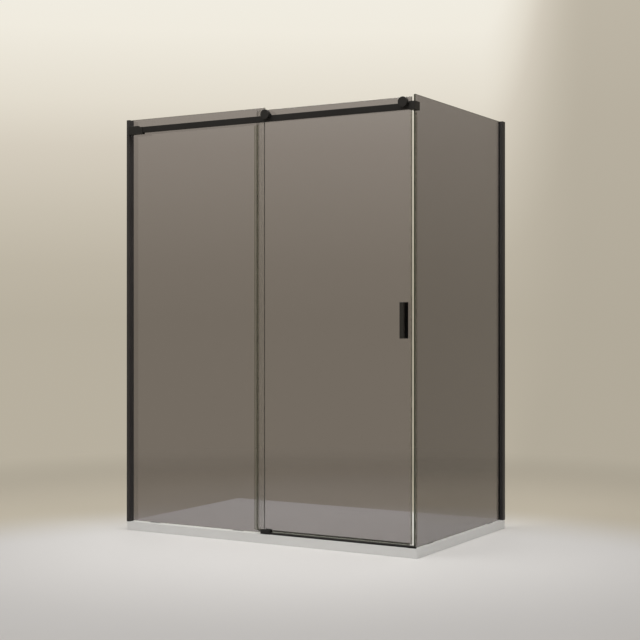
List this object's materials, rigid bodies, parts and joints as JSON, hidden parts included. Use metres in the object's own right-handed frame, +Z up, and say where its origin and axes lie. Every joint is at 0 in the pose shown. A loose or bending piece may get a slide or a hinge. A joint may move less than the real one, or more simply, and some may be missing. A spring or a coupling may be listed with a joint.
{
  "type": "shower enclosure",
  "caption": "Corner shower enclosure: low tray, fixed and side panels of smoked glass, and a glass door that slides on a slim black top rail.",
  "frame": {"origin": "centre of the tray's underside, on the floor", "axes": "+Z up; +X along the front from the wall jamb to the glass corner; +Y from the front towards the back wall"},
  "size_m": [1.6, 1.021, 2.036],
  "materials": {
    "white_tray": "satin white",
    "smoked_glass": "clear, smoked bronze",
    "black_aluminium": "matte black powder coat",
    "black_metal": "matte black",
    "steel": "plain stainless",
    "clear_vinyl": "translucent",
    "black_rubber": "matte",
    "black_nylon": "matte",
    "grey_nylon": "matte"
  },
  "bodies": {
    "enclosure": {"shower_tray": "white_tray", "waste_cover": "white_tray", "wall_jamb": "black_aluminium", "jamb_cover_strip": "black_aluminium", "side_wall_profile": "black_aluminium", "side_cover_strip": "black_aluminium", "top_rail": "black_aluminium", "threshold_strip": "black_aluminium", "jamb_cap": "black_nylon", "side_profile_cap": "black_nylon", "jamb_gaskets": "black_rubber", "side_gaskets": "black_rubber", "setting_blocks": "black_rubber", "fixed_glass": "smoked_glass", "side_glass": "smoked_glass", "rail_wall_bracket": "black_metal", "rail_corner_block": "black_metal", "bracket_screws": "steel", "rail_set_screws": "steel", "corner_clamp_bolt": "black_metal", "corner_glass_bush": "grey_nylon", "corner_glass_pads": "black_rubber", "rail_end_stops": "black_nylon", "strike_seal": "clear_vinyl", "floor_guide": "black_nylon", "threshold_end_block": "black_nylon", "tray_screws": "steel"},
    "door": {"door_glass": "smoked_glass", "roller_cover_rear": "black_metal", "roller_cover_front": "black_metal", "roller_axle_rear": "steel", "roller_axle_front": "steel", "roller_inner_cap_rear": "black_metal", "roller_inner_cap_front": "black_metal", "roller_washers": "black_rubber", "roller_glass_bushes": "grey_nylon", "handle_grip": "black_metal", "handle_inner_plate": "black_metal", "handle_screws": "steel", "handle_glass_bushes": "grey_nylon", "handle_gaskets": "black_rubber", "rear_seal": "clear_vinyl", "closing_seal": "clear_vinyl", "bottom_seal": "clear_vinyl"},
    "wheel_rear": {"roller_wheel_rear": "grey_nylon", "roller_bearing_rear": "steel"},
    "wheel_front": {"roller_wheel_front": "grey_nylon", "roller_bearing_front": "steel"}
  },
  "joints": [
    {"name": "door_slide", "type": "slide", "parent": "enclosure", "child": "door", "axis": [-1, 0, 0], "range_m": [0, 0.68]},
    {"name": "wheel_rear_spin", "type": "hinge", "parent": "door", "child": "wheel_rear", "pos_m": [0.024, -0.4955, 1.996], "axis": [0, 1, 0], "continuous": true},
    {"name": "wheel_front_spin", "type": "hinge", "parent": "door", "child": "wheel_front", "pos_m": [0.739, -0.4955, 1.996], "axis": [0, 1, 0], "continuous": true}
  ],
  "couplings": [
    {"joint": "wheel_rear_spin", "follows": "door_slide", "rad_per_m": -85.47},
    {"joint": "wheel_front_spin", "follows": "door_slide", "rad_per_m": -85.47}
  ]
}
